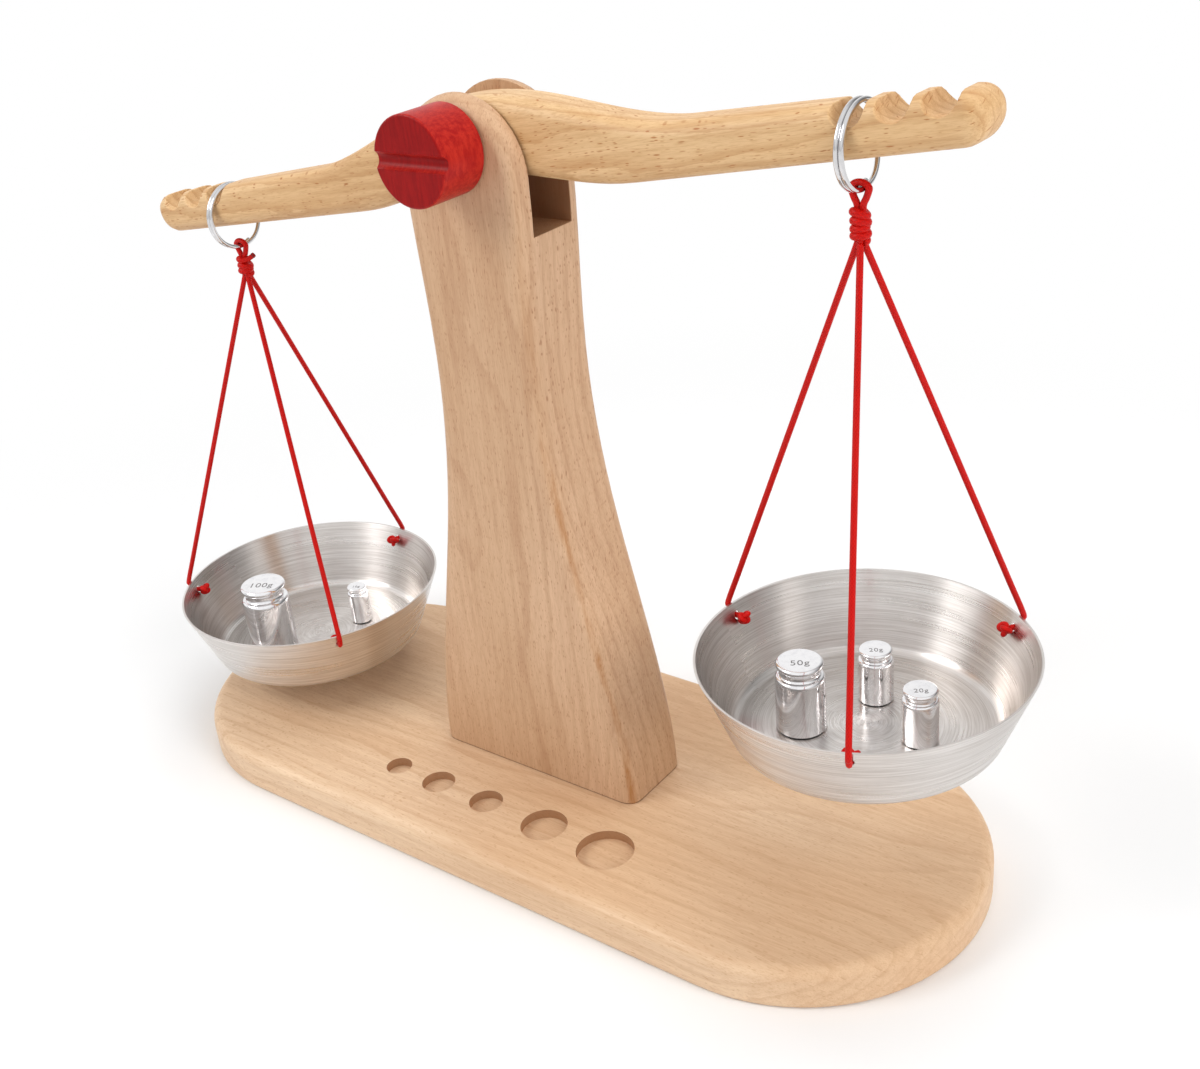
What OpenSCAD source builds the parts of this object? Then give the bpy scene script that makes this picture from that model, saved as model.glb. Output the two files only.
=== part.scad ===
// Wooden balance scale for playing shop: a base board with a row of pockets for the weights,
// a waisted pillar, a beam that swings in the pillar's slot, and two metal pans on red cords.
// X runs along the board, Y away from the front, Z up. The origin is the centre of the board's underside.

/* [Base board] */
// Length of the board
board_l = 382; // [340:1:440]
// Width of the board; its ends are half circles of this width
board_w = 148; // [130:1:170]
// Thickness of the board
board_t = 17; // [15:0.5:20]
// Rounding of the board's top edge
board_edge = 5; // [2:0.5:6]
// Rounding of the board's bottom edge
board_foot_edge = 2; // [1:0.5:4]

/* [Weight pockets] */
// Distance from the board's middle to the row of pockets
pocket_row = 45; // [42:0.5:50]
// How far the row's middle lies to the right of the board's middle
pocket_shift = 4.4; // [-20:0.1:20]
// Depth of each pocket
pocket_depth = 4; // [2.5:0.5:6]
// How much wider a pocket is than its weight
pocket_play = 1.2; // [0.6:0.1:2]
// Usual wall between two pockets
pocket_web = 11.5; // [9:0.5:14]

/* [Pillar] */
// Thickness of the pillar, front to back
pillar_t = 36; // [33:0.5:42]
// Width of the pillar where it stands on the board
foot_w = 103; // [90:1:115]
// Width of the pillar at its waist
waist_w = 50; // [46:1:54]
// Height of the waist above the board
waist_rise = 183; // [165:1:195]
// Radius of the pillar's round head
head_r = 27.5; // [26:0.5:32]
// How far the head's centre lies below the axle
head_drop = 10; // [6:0.5:12]
// Rounding of the pillar's long edges
pillar_edge = 6; // [3:0.5:6.5]
// Height of the axle above the table
axle_z = 280; // [265:1:300]
// Depth of the slot below the axle
slot_drop = 31; // [26:0.5:38]

/* [Axle and knob] */
// Diameter of the axle
axle_d = 12; // [8:0.5:13]
// Diameter of the knob
knob_d = 32; // [28:1:38]
// Length of the knob
knob_l = 20.8; // [18:0.2:28]
// Radius of the finger groove across the knob's face
groove_r = 3; // [2:0.1:4]
// Depth of the finger groove
groove_depth = 2.4; // [1.5:0.1:3]

/* [Beam] */
// Length of the beam from end to end
beam_l = 380; // [370:1:430]
// Thickness of the beam, front to back
beam_t = 20; // [18:0.5:22]
// Top of the beam above the axle at its middle
hub_top = 14.8; // [12:0.2:17]
// Bottom of the beam below the axle at its middle
hub_bottom = 12.5; // [11:0.5:15]
// How far the arm's top lies below the axle where the arm begins
arm_top_drop = 2.7; // [0:0.1:4]
// How much lower the arm's top lies at its end
arm_fall = 2.2; // [0:0.1:3]
// How far the arm's bottom lies below the axle
arm_bottom_drop = 21; // [19:0.5:24]
// Distance from the axle to where the top curve ends
top_curve = 92; // [75:1:110]
// Distance from the axle to where the bottom curve ends
bottom_curve = 66; // [50:1:90]
// Rounding of the beam's long edges
beam_edge = 6; // [3:0.5:6.5]
// How far the right end stands up from level, in degrees
tilt = 9; // [-13:0.5:13]

/* [Notches] */
// Distance from the axle to the inner notch
notch_start = 148; // [140:1:152]
// Distance from one notch to the next
notch_pitch = 14.5; // [12:0.5:15]
// Radius of a notch
notch_r = 5.6; // [4:0.1:6.5]
// How far a notch's deepest line lies below the axle
notch_drop = 11; // [9:0.5:13]
// Notch that the rings hang in, counted from the axle
hung_notch = 0; // [0:1:2]

/* [Rings and cords] */
// Inner radius of the split rings
ring_in_r = 12.3; // [12:0.1:14]
// Thickness of a ring's wire
ring_wire = 1.5; // [1.2:0.1:1.8]
// Distance between the two turns of a ring
ring_pitch = 2; // [2:0.1:2.5]
// Diameter of the cord
cord_d = 2.2; // [1.8:0.1:2.6]
// Diameter of the cord where it is drawn tight in the knot's turns
wound_d = 1.9; // [1.6:0.1:2.1]
// Height from the ring's bottom wire down to the knot
leg_h = 5; // [5:0.1:8]
// Turns of cord round the right knot
right_turns = 3.8; // [3:0.1:6]
// Turns of cord round the left knot
left_turns = 2.4; // [2:0.1:5]
// Distance from one turn of the knot to the next
knot_pitch = 2.4; // [2.4:0.1:3]
// Length of the cord's tail at the left knot
tail_l = 4.6; // [2:0.2:8]

/* [Pans] */
// Height from the notch down to the pan's rim
hang = 188; // [170:1:190]
// Diameter of the pan at its rim
pan_d = 120; // [100:1:130]
// Diameter of the pan's bottom
pan_base_d = 96; // [84:1:100]
// Depth of the pan
pan_h = 30; // [26:0.5:31]
// Thickness of the pan's sheet
pan_wall = 0.8; // [0.6:0.1:1.2]
// Rounding between the pan's wall and its bottom
pan_corner = 5; // [3:0.5:8]
// Diameter of a cord hole in the rim
hole_d = 3.2; // [2.8:0.1:4]
// Distance from the rim down to the cord holes
hole_drop = 4.6; // [4:0.1:6]

/* [Weights] */
// Diameter of the 10 g weight
d_10g = 10; // [9:0.5:11]
// Height of the 10 g weight
h_10g = 18.5; // [16:0.5:21]
// Diameter of the 20 g weights
d_20g = 13; // [12:0.5:14]
// Height of the 20 g weights
h_20g = 21; // [19:0.5:24]
// Diameter of the 50 g weight
d_50g = 18; // [17:0.5:19]
// Height of the 50 g weight
h_50g = 27.5; // [25:0.5:30]
// Diameter of the 100 g weight
d_100g = 22; // [20:0.5:24]
// Height of the 100 g weight
h_100g = 36; // [32:0.5:38]

/* [Screws] */
// Shank diameter of the two wood screws under the board
screw_d = 4.5; // [3.5:0.5:5.5]
// Length of the screws
screw_l = 55; // [45:1:70]
// Distance of each screw from the board's middle
screw_x = 28; // [20:1:34]

/* [Hidden] */
$fn = 96;

// Clearances and overruns
over = 1;             // how far a cut runs past the face that it opens
slot_play = 0.6;      // space between the beam and each wall of the slot
pin_play = 0.08;      // running clearance round the axle, on the radius
screw_play = 0.1;     // clearance round a screw, on the radius
seat_gap = 0.3;       // space between pieces that move against each other
ring_lift = 0.1;      // how much the outer turns of a ring rise in a round notch
left = -1;            // side of the beam, as a sign along X
right = 1;

// Smoothness
wave_steps = 18;      // points along each long curve
arch_steps = 24;      // points round the pillar's head
end_steps = 8;        // points round each end of the beam
edge_steps = 4;       // points round an edge

// Rounding of the beam's ends, as shares of their height
nose_top_share = 0.42;
nose_bottom_share = 0.56;

// Weight row: share of the usual wall that stands between two neighbouring pockets
web_shares = [0.9, 1.07, 1.23, 0.82];

// Where the weights stand in their pans, as shares of the pan's bottom radius
spot_10g_shares = [0.2, 0.39];
spot_20g_a_shares = [0.446, -0.017];
spot_20g_b_shares = [-0.08, 0.317];
spot_50g_shares = [-0.385, -0.28];
spot_100g_shares = [-0.156, -0.458];

// A weight's form, as shares of its diameter
weight_head_share = 0.89;
weight_edge_share = 0.06;
weight_groove_share = 0.055;
weight_foot_share = 0.03;

// Turn of each pan about its own axis, in degrees, to its first cord hole
left_spin = -151.6;
right_spin = 172.7;

// Colours
beech = [0.86, 0.70, 0.50];
red_paint = [0.72, 0.09, 0.09];
steel = [0.75, 0.75, 0.74];
chrome = [0.85, 0.85, 0.87];
cord_red = [0.80, 0.07, 0.05];

// Sizes that follow from the ones above
board_edge_r = min(board_edge, board_t / 2);
slot_t = beam_t + 2 * slot_play;
ear_t = (pillar_t - slot_t) / 2;
waist_z = board_t + waist_rise;
head_z = axle_z - head_drop;
arm_end = beam_l / 2;
end_top = -arm_top_drop - arm_fall;
end_bottom = -arm_bottom_drop;
end_h = end_top - end_bottom;
nose_top_r = end_h * nose_top_share;
nose_bottom_r = end_h * nose_bottom_share;
notch_mid = notch_r - notch_drop;
ring_r = ring_in_r + ring_wire / 2;
cord_r = cord_d / 2;
wound_r = wound_d / 2;

// Heights below the notch's centre of curvature, down one side of the scale
ring_mid_drop = notch_r - seat_gap - ring_lift + sqrt(pow(ring_in_r, 2) - pow(beam_t / 2, 2));
eye_drop = ring_mid_drop + ring_r;
collar_t = wound_r;
collar_r = cord_d + seat_gap;
knot_top_drop = eye_drop + leg_h;
pan_mid_drop = hang;

function knot_turns(side) = side == left ? left_turns : right_turns;
function knot_l(side) = knot_turns(side) * knot_pitch + wound_d + collar_t;
function knot_bottom_drop(side) = knot_top_drop + knot_l(side);
function string_top_drop(side) = knot_bottom_drop(side) + seat_gap;

// The pan's wall leans out by this much for each unit of height
pan_lean = (pan_d - pan_base_d) / 2 / pan_h;
pan_lean_angle = atan(pan_lean);
hole_out_r = pan_d / 2 - pan_lean * hole_drop;
hole_in_r = hole_out_r - pan_wall / cos(pan_lean_angle);
rim_knot_r = cord_d + 0.1 * cord_d;
rim_knot_face = hole_in_r - pan_wall;

// Height and width of the cord's path over the ring's two wires, clear of them all round
eye_half_w = (ring_pitch + ring_wire) / 2 + cord_r + seat_gap * 1.1;
eye_rise = ring_wire / 2 + cord_r + seat_gap * 2.2;
leg_half_w = cord_r + seat_gap;

// General functions

// Goes smoothly from 0 to 1 as s goes from 0 to 1, and stays at the ends beyond that
function ease(s) = (1 - cos(180 * min(max(s, 0), 1))) / 2;

// Points on a circular arc from angle a0 to a1
function arc(middle, r, a0, a1, steps) = [
    for (i = [0:steps])
        let (a = a0 + (a1 - a0) * i / steps)
        middle + r * [cos(a), sin(a)]
];

function unit(v) = v / norm(v);

// The same points in reverse, mirrored in the axis of height
function mirrored(points) = [for (i = [len(points) - 1:-1:0]) [-points[i].x, points[i].y]];

// Outward direction of the edge from a to b on an outline that runs anticlockwise
function edge_out(a, b) = unit([b.y - a.y, a.x - b.x]);

// Each point of a closed outline moved inwards by d, square to both edges that meet there
function inset(points, d) = [
    for (i = [0:len(points) - 1])
        let (
            before = points[(i + len(points) - 1) % len(points)],
            after = points[(i + 1) % len(points)],
            n1 = edge_out(before, points[i]),
            n2 = edge_out(points[i], after)
        )
        points[i] - d * (n1 + n2) / (1 + n1 * n2)
];

// Side faces of a stack of rings with the same number of points
function skin_faces(rings, sides) = [
    for (k = [0:rings - 2], i = [0:sides - 1])
        let (j = (i + 1) % sides)
        each [
            [k * sides + i, (k + 1) * sides + j, k * sides + j],
            [k * sides + i, (k + 1) * sides + i, (k + 1) * sides + j]
        ]
];

// The two ends of such a stack, where its rings are convex
function end_faces(rings, sides) = [
    [for (i = [0:sides - 1]) i],
    [for (i = [sides - 1:-1:0]) (rings - 1) * sides + i]
];

// The two ends, where its rings are hollow in places: faces of four points, two on each side.
// Each run is [first point, number of faces, what the numbers of two points across from each other add up to].
function split_end_faces(rings, sides, runs) = [
    for (run = runs, i = [run[0]:run[0] + run[1] - 1])
        let (face = [i % sides, (i + 1) % sides, (run[2] - i - 1) % sides, (run[2] - i) % sides])
        each [face, [for (k = [3:-1:0]) (rings - 1) * sides + face[k]]]
];

// The same ring with its first and last points slid along their own edges down to the floor
function grounded(points, floor_z) =
    let (
        last = len(points) - 1,
        first_run = points[1] - points[0],
        last_run = points[last - 1] - points[last]
    )
    [
        for (i = [0:last])
            i == 0 ? points[0] - first_run * (points[0].y - floor_z) / first_run.y
            : i == last ? points[last] - last_run * (points[last].y - floor_z) / last_run.y
            : points[i]
    ];

// A plank cut to an outline of [x, z] points, with its long edges rounded on both faces.
// One that stands has an outline that starts and ends on its floor, and its foot isn't rounded.
// The runs split its faces.
module plank(outline, t, edge, runs, standing = false) {
    rounding = [
        for (i = [0:edge_steps])
            let (a = 90 * i / edge_steps)
            [edge * (1 - cos(a)) - t / 2, edge * (1 - sin(a))]
    ];
    layers = concat(rounding, [for (i = [edge_steps:-1:0]) [-rounding[i].x, rounding[i].y]]);
    points = [
        for (layer = layers)
            let (
                sunk = inset(outline, layer.y),
                ring = standing ? grounded(sunk, outline[0].y) : sunk
            )
            each [for (p = ring) [p.x, -layer.x, p.y]]
    ];
    rings = len(layers);
    sides = len(outline);
    polyhedron(points, concat(skin_faces(rings, sides), split_end_faces(rings, sides, runs)), convexity = 6);
}

// A round tube along a path; side_on is a direction that the path never runs along
module tube(path, r, sides, side_on) {
    last = len(path) - 1;
    points = [
        for (i = [0:last])
            let (
                along = unit(path[min(i + 1, last)] - path[max(i - 1, 0)]),
                across = unit(cross(side_on, along)),
                up = cross(along, across)
            )
            each [for (k = [0:sides - 1]) path[i] + r * (cos(360 * k / sides) * across + sin(360 * k / sides) * up)]
    ];
    polyhedron(points, concat(skin_faces(last + 1, sides), end_faces(last + 1, sides)), convexity = 8);
}

// Least gap between parts of a wound tube that lie more than skip points apart along it
function least_gap(path, r, skip) = min([
    for (i = [0:len(path) - 1], j = [i + skip:1:len(path) - 1])
        norm(path[i] - path[j])
]) - 2 * r;

// Base board

function pocket_r(d) = (d + pocket_play) / 2;

weight_ds = [d_10g, d_20g, d_20g, d_50g, d_100g];

// Distance from the row's left end to the middle of pocket i
function pocket_run(i) = i == 0
    ? pocket_r(weight_ds[0])
    : pocket_run(i - 1) + pocket_r(weight_ds[i - 1]) + web_shares[i - 1] * pocket_web + pocket_r(weight_ds[i]);

row_l = pocket_run(len(weight_ds) - 1) + pocket_r(weight_ds[len(weight_ds) - 1]);

function pocket_x(i) = pocket_shift - row_l / 2 + pocket_run(i);

// Half of the board's cross-section, from its middle out to one edge
module board_half_section() {
    r = board_w / 2;
    polygon(concat(
        [[0, 0]],
        arc([r - board_foot_edge, board_foot_edge], board_foot_edge, -90, 0, edge_steps),
        arc([r - board_edge_r, board_t - board_edge_r], board_edge_r, 0, 90, 2 * edge_steps),
        [[0, board_t]]
    ));
}

module board_blank() {
    straight = board_l - board_w;
    for (end = [left, right])
        translate([end * straight / 2, 0, 0])
            rotate([0, 0, end * 90 - 180])
                rotate_extrude(angle = 180)
                    board_half_section();
    translate([-straight / 2, 0, 0])
        rotate([90, 0, 90])
            linear_extrude(straight) {
                board_half_section();
                mirror([1, 0, 0])
                    board_half_section();
            }
}

module base_board() {
    color(beech)
        difference() {
            board_blank();
            for (i = [0:len(weight_ds) - 1])
                translate([pocket_x(i), -pocket_row, board_t - pocket_depth])
                    cylinder(r = pocket_r(weight_ds[i]), h = pocket_depth + over);
            for (side = [left, right])
                translate([side * screw_x, 0, 0])
                    screw_shape(screw_play, over);
        }
}

// A countersunk wood screw that stands on its head; grow adds clearance, past opens the head's end
module screw_shape(grow, past) {
    head_flat = screw_d * 0.15;
    head_cone = screw_d * 0.5;
    head_top = head_flat + head_cone;
    rotate_extrude()
        polygon([
            [0, -past],
            [screw_d + grow, -past],
            [screw_d + grow, head_flat + grow],
            [screw_d / 2 + grow, head_top + grow],
            [screw_d / 2 + grow, screw_l - screw_d],
            [0, screw_l + grow]
        ]);
}

module pillar_screws() {
    color(steel)
        for (side = [left, right])
            translate([side * screw_x, 0, 0])
                screw_shape(0, 0);
}

// Pillar

function pillar_half_w(z) = z < waist_z
    ? foot_w / 2 - (foot_w - waist_w) / 2 * ease(pow(max(z - board_t, 0) / waist_rise, 0.9))
    : waist_w / 2 + (head_r - waist_w / 2) * ease((z - waist_z) / (head_z - waist_z));

function pillar_side() = concat(
    [
        for (i = [0:wave_steps])
            let (z = board_t + waist_rise * i / wave_steps)
            [pillar_half_w(z), z]
    ],
    [
        for (i = [1:edge_steps])
            let (z = waist_z + (head_z - waist_z) * i / (edge_steps + 1))
            [pillar_half_w(z), z]
    ],
    arc([0, head_z], head_r, 0, 90 * (1 - 1 / (arch_steps + 1)), arch_steps / 2)
);

module pillar() {
    side = pillar_side();
    across = 2 * len(side) - 1;
    color(beech)
        difference() {
            plank(concat(side, mirrored(side)), pillar_t, pillar_edge, [[0, len(side) - 1, across]], standing = true);
            translate([-foot_w / 2, -slot_t / 2, axle_z - slot_drop])
                cube([foot_w, slot_t, slot_drop + axle_z]);
            translate([0, pillar_t / 2 + over, axle_z])
                rotate([90, 0, 0])
                    cylinder(r = axle_d / 2 + pin_play, h = pillar_t + 2 * over);
            for (side = [left, right])
                translate([side * screw_x, 0, 0])
                    screw_shape(screw_play, over);
        }
}

// Axle and knob

knob_back = -pillar_t / 2 - seat_gap;
knob_front = knob_back - knob_l;
axle_seat = knob_l * 0.6;          // how deep the axle stands in the knob
axle_proud = axle_d / 12;          // how far the axle shows behind the pillar
axle_ease = axle_d / 12;

// Turns a profile of [radius, height] points about the axle's line, its height running from the front backwards
module on_axle() {
    translate([0, 0, axle_z])
        rotate([-90, 0, 0])
            rotate_extrude()
                children();
}

module axle() {
    front = knob_back - axle_seat;
    back = pillar_t / 2 + axle_proud;
    color(beech)
        on_axle()
            polygon([
                [0, front],
                [axle_d / 2, front],
                [axle_d / 2, back - axle_ease],
                [axle_d / 2 - axle_ease, back],
                [0, back]
            ]);
}

module knob() {
    r = knob_d / 2;
    edge = knob_d / 32;
    hole_r = axle_d / 2 + pin_play;
    hole_end = knob_back - axle_seat - seat_gap;
    color(red_paint)
        difference() {
            on_axle()
                polygon(concat(
                    [[0, knob_front]],
                    arc([r - edge, knob_front + edge], edge, -90, 0, edge_steps),
                    arc([r - edge, knob_back - edge], edge, 0, 90, edge_steps),
                    [[hole_r, knob_back], [hole_r, hole_end], [0, hole_end]]
                ));
            translate([-knob_d, knob_front - groove_r + groove_depth, axle_z])
                rotate([0, 90, 0])
                    cylinder(r = groove_r, h = 2 * knob_d);
        }
}

// Beam, drawn level about the axle and then tilted

function beam_top(u) = u < top_curve
    ? hub_top - (hub_top + arm_top_drop) * ease(u / top_curve)
    : -arm_top_drop - arm_fall * (u - top_curve) / (arm_end - top_curve);

function beam_bottom(u) = -hub_bottom - (arm_bottom_drop - hub_bottom) * ease(u / bottom_curve);

function beam_arm() = concat(
    [for (i = [0:wave_steps]) let (u = top_curve * i / wave_steps) [u, beam_bottom(u)]],
    arc([arm_end - nose_bottom_r, end_bottom + nose_bottom_r], nose_bottom_r, -90, 0, end_steps),
    arc([arm_end - nose_top_r, end_top - nose_top_r], nose_top_r, 0, 88, end_steps),
    [for (i = [wave_steps:-1:0]) let (u = top_curve * i / wave_steps) [u, beam_top(u)]]
);

module tilted() {
    translate([0, 0, axle_z])
        rotate([0, -tilt, 0])
            children();
}

module beam() {
    arm = beam_arm();
    other_arm = mirrored([for (i = [1:len(arm) - 2]) arm[i]]);
    outline = concat(arm, other_arm);
    faces = len(arm) / 2 - 1;
    runs = [
        [0, faces, len(arm) - 1],
        [len(arm) - 1, faces, len(outline) + len(arm) - 1]
    ];
    color(beech)
        tilted()
            difference() {
                plank(outline, beam_t, beam_edge, runs);
                rotate([90, 0, 0])
                    cylinder(r = axle_d / 2 + pin_play, h = beam_t + 2 * over, center = true);
                for (side = [left, right], i = [0:2])
                    translate([side * (notch_start + i * notch_pitch), 0, notch_mid])
                        rotate([90, 0, 0])
                            cylinder(r = notch_r, h = beam_t + 2 * over, center = true);
            }
}

// Where each side hangs: the middle of the notch's curve, after the tilt
function hang_u(side) = side * (notch_start + hung_notch * notch_pitch);
function hang_x(side) = hang_u(side) * cos(tilt) - notch_mid * sin(tilt);
function hang_z(side) = axle_z + hang_u(side) * sin(tilt) + notch_mid * cos(tilt);

module hung(side, drop) {
    translate([hang_x(side), 0, hang_z(side) - drop])
        children();
}

// Split rings: two turns side by side, with one crossing where the wire steps from the first to the second

ring_turn_steps = 36;
ring_cross = 35;                   // half of the crossing, in degrees
ring_cross_at = 120;               // the crossing's place, in degrees from the ring's top

function ring_path() = [
    for (i = [0:2 * ring_turn_steps])
        let (
            run = 2 * (360 - ring_cross) * i / (2 * ring_turn_steps),
            a = ring_cross_at + ring_cross + run,
            step = ease((run - 360 + 2 * ring_cross) / (2 * ring_cross))
        )
        [ring_pitch * (step - 1 / 2), ring_r * sin(a), ring_r * cos(a)]
];

module split_ring(side) {
    path = ring_path();
    echo(str("Least gap between the ring's turns, mm: ", least_gap(path, ring_wire / 2, ring_turn_steps / 2)));
    color(steel)
        hung(side, ring_mid_drop)
            tube(path, ring_wire / 2, 8, [1, 0, 0]);
}

module left_ring() {
    split_ring(left);
}

module right_ring() {
    split_ring(right);
}

// Cord loops: up from the knot, over the ring's two wires and down again, in the plane of the beam

loop_steps = 14;
leg_steps = 5;

function loop_leg() = concat(
    [[leg_half_w, 0, -leg_h]],
    [
        for (i = [0:leg_steps])
            let (s = i / (leg_steps + 1))
            [leg_half_w + (eye_half_w - leg_half_w) * ease(s), 0, -leg_h + cord_r + (leg_h - cord_r) * s]
    ]
);

function loop_path() = concat(
    loop_leg(),
    [
        for (i = [0:loop_steps])
            let (a = 180 * i / loop_steps)
            [eye_half_w * cos(a), 0, eye_rise * sin(a)]
    ],
    [for (i = [len(loop_leg()) - 1:-1:0]) let (p = loop_leg()[i]) [-p.x, 0, p.z]]
);

module cord_loop(side) {
    color(cord_red)
        hung(side, eye_drop)
            tube(loop_path(), cord_r, 8, [0, 1, 0]);
}

module left_cord_loop() {
    cord_loop(left);
}

module right_cord_loop() {
    cord_loop(right);
}

// Knots: the cord's end wound round its own strands, with a collar that the loop comes out of

knot_steps = 24;                   // rings for each turn
core_r = wound_d * 0.85;
winding_r = core_r + wound_r * 0.85;

// The winding runs up from the knot's bottom and ends at the angle given, then in a straight tail
function winding(turns, end_angle, tail) = concat(
    [
        for (i = [0:turns * knot_steps])
            let (a = end_angle - 360 * (turns - i / knot_steps))
            [winding_r * cos(a), winding_r * sin(a), wound_r + knot_pitch * i / knot_steps]
    ],
    tail > 0
        ? [
            for (i = [1:2])
                [
                    winding_r * cos(end_angle) - tail * i / 2 * sin(end_angle),
                    winding_r * sin(end_angle) + tail * i / 2 * cos(end_angle),
                    wound_r + knot_pitch * (turns + i / 8)
                ]
        ]
        : []
);

module cord_knot(side, end_angle, tail) {
    path = winding(knot_turns(side), end_angle, tail);
    echo(str("Least gap between the knot's turns, mm: ", least_gap(path, wound_r, knot_steps / 2)));
    color(cord_red)
        hung(side, knot_bottom_drop(side)) {
            cylinder(r = core_r, h = knot_l(side));
            translate([0, 0, knot_l(side) - collar_t])
                cylinder(r = collar_r, h = collar_t);
            tube(path, wound_r, 6, [0, 0, 1]);
        }
}

module left_cord_knot() {
    cord_knot(left, -53, tail_l);
}

module right_cord_knot() {
    cord_knot(right, 100, 0);
}

// Strings: straight from the knot to the rim, down over its edge and in through a hole to a small knot.
// The route's points are [distance from the pan's axis, height above the rim].

string_gather = cord_d / sqrt(3) + seat_gap / 4;
rim_clear = pan_d / 2 + cord_r + seat_gap;

function string_route(side) = [
    [string_gather, pan_mid_drop - string_top_drop(side)],
    [rim_clear, seat_gap],
    [rim_clear - cord_r * 0.1, -hole_drop * 0.35],
    [rim_clear - cord_r * 0.55, -hole_drop * 0.72],
    [rim_clear - cord_r * 1.3, -hole_drop * 0.94],
    [rim_clear - cord_r * 2.1, -hole_drop],
    [rim_knot_face, -hole_drop]
];

module string(side, spin, i) {
    color(cord_red)
        hung(side, pan_mid_drop)
            rotate([0, 0, spin + 120 * i])
                tube([for (p = string_route(side)) [p.x, 0, p.y]], cord_r, 8, [0, 1, 0]);
}

module left_string_a() {
    string(left, left_spin, 0);
}

module left_string_b() {
    string(left, left_spin, 1);
}

module left_string_c() {
    string(left, left_spin, 2);
}

module right_string_a() {
    string(right, right_spin, 0);
}

module right_string_b() {
    string(right, right_spin, 1);
}

module right_string_c() {
    string(right, right_spin, 2);
}

// The small knots that hold the strings inside the rim
module rim_knots(side, spin) {
    flat_angle = 50;               // where the knot's round is cut flat, in degrees from its widest line
    sunk = rim_knot_r * sin(flat_angle);
    color(cord_red)
        hung(side, pan_mid_drop + hole_drop)
            for (i = [0:2])
                rotate([0, 0, spin + 120 * i])
                    translate([rim_knot_face, 0, 0])
                        rotate([0, 90, 0])
                            rotate_extrude($fn = 48)
                                polygon(concat(
                                    [[0, 0]],
                                    arc([0, -sunk], rim_knot_r, flat_angle, -75, 2 * edge_steps),
                                    [[0, -sunk - rim_knot_r]]
                                ));
}

module left_rim_knots() {
    rim_knots(left, left_spin);
}

module right_rim_knots() {
    rim_knots(right, right_spin);
}

// Pans: spun sheet with a flat bottom, a round corner and a leaning wall

// Profile of a bowl from its axis out along the bottom and up the wall to height zero.
// sunk moves the whole profile inwards, square to itself.
function bowl_side(sunk) =
    let (
        wall_angle = 90 - pan_lean_angle,
        r = pan_corner - sunk,
        base = pan_base_d / 2,
        corner_run = pan_corner * tan(wall_angle / 2),
        middle = [base - corner_run, pan_corner - pan_h],
        top = pan_d / 2 - sunk / cos(pan_lean_angle)
    )
    concat(
        [[0, sunk - pan_h]],
        arc(middle, r, -90, wall_angle - 90, edge_steps * 2),
        [[top, 0]]
    );

module pan(side, spin) {
    inside = bowl_side(pan_wall);
    color(steel)
        hung(side, pan_mid_drop)
            difference() {
                rotate_extrude($fn = 144)
                    polygon(concat(bowl_side(0), [for (i = [len(inside) - 1:-1:0]) inside[i]]));
                for (i = [0:2])
                    rotate([0, 0, spin + 120 * i])
                        translate([pan_base_d / 2, 0, -hole_drop])
                            rotate([0, 90, 0])
                                cylinder(d = hole_d, h = pan_d / 2);
            }
}

module left_pan() {
    pan(left, left_spin);
}

module right_pan() {
    pan(right, right_spin);
}

// Weights: a turned cylinder with a neck groove under a flat head

module weight_shape(d, h) {
    r = d / 2;
    foot = d * weight_foot_share;
    edge = d * weight_edge_share;
    groove = d * weight_groove_share;
    head_r = r * weight_head_share;
    body_h = h - 2 * groove - 2 * edge;
    rotate_extrude()
        polygon(concat(
            [[0, 0], [r - foot, 0], [r, foot]],
            arc([r - edge, body_h - edge], edge, 0, 90, edge_steps),
            arc([head_r - edge, body_h + groove], groove, 270, 90, 2 * edge_steps),
            arc([head_r - edge, h - edge], edge, -90, 90, 2 * edge_steps),
            [[0, h]]
        ));
}

module stood(side, shares) {
    hung(side, pan_mid_drop + pan_h - pan_wall - seat_gap)
        translate(pan_base_d / 2 * [shares.x, shares.y, 0])
            color(chrome)
                children();
}

module weight_10g() {
    stood(left, spot_10g_shares)
        weight_shape(d_10g, h_10g);
}

module weight_20g_a() {
    stood(right, spot_20g_a_shares)
        weight_shape(d_20g, h_20g);
}

module weight_20g_b() {
    stood(right, spot_20g_b_shares)
        weight_shape(d_20g, h_20g);
}

module weight_50g() {
    stood(right, spot_50g_shares)
        weight_shape(d_50g, h_50g);
}

module weight_100g() {
    stood(left, spot_100g_shares)
        weight_shape(d_100g, h_100g);
}

base_board();
pillar();
pillar_screws();
axle();
knob();
beam();
left_ring();
left_cord_loop();
left_cord_knot();
left_string_a();
left_string_b();
left_string_c();
left_rim_knots();
left_pan();
right_ring();
right_cord_loop();
right_cord_knot();
right_string_a();
right_string_b();
right_string_c();
right_rim_knots();
right_pan();
weight_10g();
weight_20g_a();
weight_20g_b();
weight_50g();
weight_100g();
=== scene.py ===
"""Looks of the wooden balance scale toy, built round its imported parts. Lengths are in metres."""

import math

import bmesh
import bpy
from mathutils import Matrix, Vector


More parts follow.
